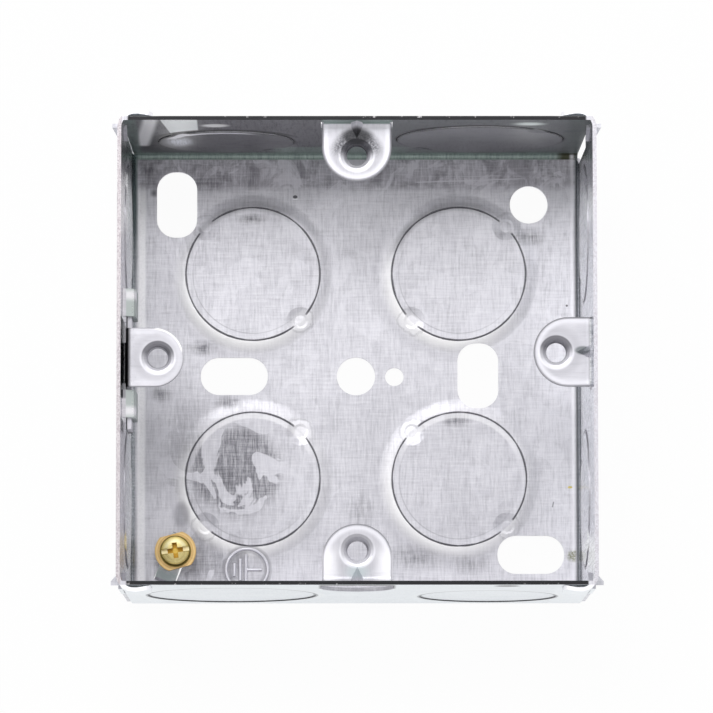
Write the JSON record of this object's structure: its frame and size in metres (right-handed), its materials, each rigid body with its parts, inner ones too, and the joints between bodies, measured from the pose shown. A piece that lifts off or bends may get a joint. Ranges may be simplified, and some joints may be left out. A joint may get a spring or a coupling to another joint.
{
  "type": "flush back box",
  "caption": "Flush back box of folded galvanised sheet with tied knockouts, fixing slots, lanced lugs, an adjustable sliding lug and a brass earth terminal.",
  "frame": {"origin": "middle of the back's outer face, under the middle of the box's overall bounds", "axes": "+Z out of the opening, +Y to the top of the box as it is fixed in a wall, +X to the right seen from the front"},
  "size_m": [0.0744, 0.0732, 0.035],
  "materials": {
    "galvanised_box": "bright zinc coat with fine crossed brush lines",
    "galvanised_lug": "bright zinc coat",
    "brass_washer": "dull brass",
    "brass_screw": "dull brass"
  },
  "bodies": {
    "box": {"box_body": "galvanised_box"},
    "lug": {"adjustable_lug": "galvanised_lug"},
    "washer": {"earth_washer": "brass_washer"},
    "screw": {"earth_screw": "brass_screw"}
  },
  "joints": [
    {"name": "lug_slide", "type": "slide", "parent": "box", "child": "lug", "axis": [0, 1, 0], "range_m": [-0.0016, 0.0032]},
    {"name": "washer_lift", "type": "slide", "parent": "box", "child": "washer", "axis": [0, 0, 1], "range_m": [0, 0.002]},
    {"name": "screw_turn", "type": "hinge", "parent": "washer", "child": "screw", "pos_m": [-0.02805, -0.02775, 0.004], "axis": [0, 0, 1], "range_deg": [0, 1200]}
  ],
  "couplings": [
    {"joint": "screw_turn", "follows": "washer_lift", "rad_per_m": 10472}
  ]
}
